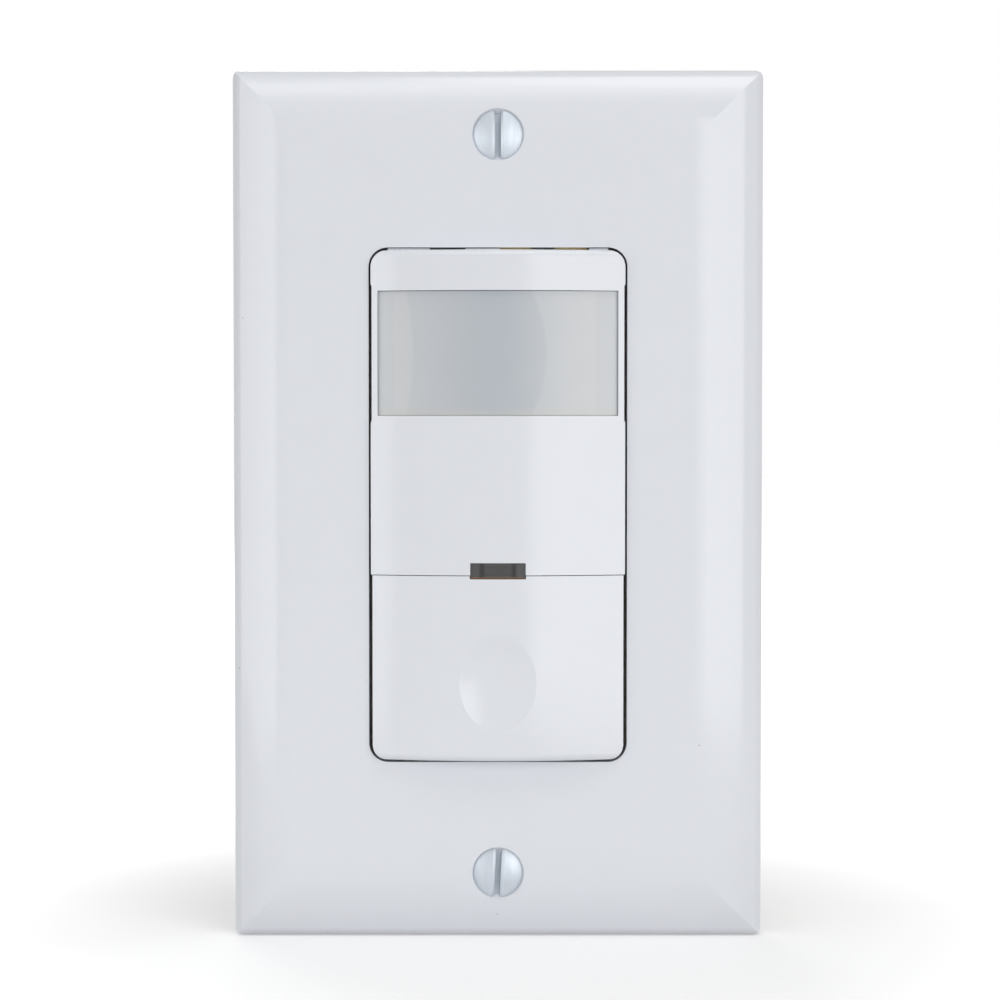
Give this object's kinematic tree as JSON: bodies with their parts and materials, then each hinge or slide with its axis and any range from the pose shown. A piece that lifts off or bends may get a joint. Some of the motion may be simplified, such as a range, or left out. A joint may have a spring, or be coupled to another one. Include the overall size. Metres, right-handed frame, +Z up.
{
  "type": "motion sensor light switch",
  "caption": "White wall switch with a crowned front: a grey motion-sensing lens above, a smoked indicator window and a hinged push button with a thumb dish below, in a screwed wall plate.",
  "frame": {"origin": "centre of the wall plate's back plane, midway between the two wall-box screws", "axes": "+X to the right seen from the front, +Y into the wall, +Z up"},
  "size_m": [0.0698, 0.0406, 0.1142],
  "materials": {
    "white_gloss": "smooth gloss",
    "white_satin": "satin",
    "lens_grey": "milky gloss",
    "smoked": "smoked gloss",
    "zinc_steel": "bluish zinc plate",
    "yellow_zinc": "yellow zinc plate",
    "fibre": "pressed fibre",
    "earth_green": "green dip",
    "black_plastic": "fine grain",
    "board_green": "lacquered",
    "blue_plastic": "smooth",
    "brass": "bright",
    "nickel": "nickel plate",
    "copper": "enamelled wire",
    "ferrite": "sintered",
    "film_yellow": "smooth",
    "sleeve_blue": "shrink sleeve",
    "fuse_body": "ceramic",
    "lamp_red": "tinted",
    "sensor_clear": "clear",
    "filter_dark": "dark filter"
  },
  "bodies": {
    "root": {"wall_plate": "white_gloss", "wall_plate_screws": "zinc_steel", "mounting_strap": "yellow_zinc", "box_screws": "zinc_steel", "box_screw_washers": "fibre", "earth_screw": "earth_green", "front_frame": "white_satin", "front_cover": "white_gloss", "fresnel_lens": "lens_grey", "indicator_window": "smoked", "dial_trimmers": "blue_plastic", "tact_switch": "black_plastic", "control_board": "board_green", "control_board_screws": "zinc_steel", "pir_sensor": "zinc_steel", "pir_filter": "filter_dark", "pir_spacer": "white_satin", "lamp_holder": "black_plastic", "indicator_lamp": "lamp_red", "light_sensor": "sensor_clear", "microcontroller": "black_plastic", "link_header": "black_plastic", "link_pins": "brass", "power_board": "board_green", "relay_base": "black_plastic", "relay_case": "blue_plastic", "relay_coil": "copper", "relay_yoke": "zinc_steel", "relay_fixed_contact": "brass", "film_capacitor": "film_yellow", "smoothing_capacitor": "sleeve_blue", "varistor": "blue_plastic", "fuse": "fuse_body", "choke_core": "ferrite", "choke_winding": "copper", "bridge_rectifier": "black_plastic", "rear_housing": "black_plastic", "housing_screws": "zinc_steel", "live_terminal_screws": "brass", "neutral_terminal_screw": "nickel", "terminal_plates": "brass", "terminal_clamps": "nickel"},
    "hinge_pin": {"button_hinge_pin": "zinc_steel"},
    "button": {"push_button": "white_gloss"},
    "plunger": {"tact_plunger": "black_plastic"},
    "time_dial": {"time_dial": "white_satin"},
    "light_dial": {"light_dial": "white_satin"},
    "range_dial": {"range_dial": "white_satin"},
    "armature": {"relay_armature": "zinc_steel", "relay_moving_contact": "brass"}
  },
  "joints": [
    {"name": "button_lift", "type": "slide", "parent": "root", "child": "hinge_pin", "axis": [0, -1, 0], "range_m": [0, 0.018]},
    {"name": "button_press", "type": "hinge", "parent": "hinge_pin", "child": "button", "pos_m": [0, -0.00385, -0.0112], "axis": [1, 0, 0], "range_deg": [0, 2.2], "stiffness_Nm_per_rad": 0.5},
    {"name": "plunger_press", "type": "slide", "parent": "root", "child": "plunger", "axis": [0, 1, 0], "range_m": [0, 0.0005]},
    {"name": "time_turn", "type": "hinge", "parent": "root", "child": "time_dial", "pos_m": [-0.0095, 0, -0.0167], "axis": [0, 1, 0], "range_deg": [-135, 135]},
    {"name": "light_turn", "type": "hinge", "parent": "root", "child": "light_dial", "pos_m": [0, 0, -0.0167], "axis": [0, 1, 0], "range_deg": [-135, 135]},
    {"name": "range_turn", "type": "hinge", "parent": "root", "child": "range_dial", "pos_m": [0.0095, 0, -0.0167], "axis": [0, 1, 0], "range_deg": [-135, 135]},
    {"name": "armature_pull", "type": "hinge", "parent": "root", "child": "armature", "pos_m": [-0.01155, 0.01385, -0.01005], "axis": [1, 0, 0], "range_deg": [0, 3.3], "stiffness_Nm_per_rad": 0.05}
  ],
  "couplings": [
    {"joint": "plunger_press", "follows": "button_press", "m_per_rad": 0.0125}
  ]
}
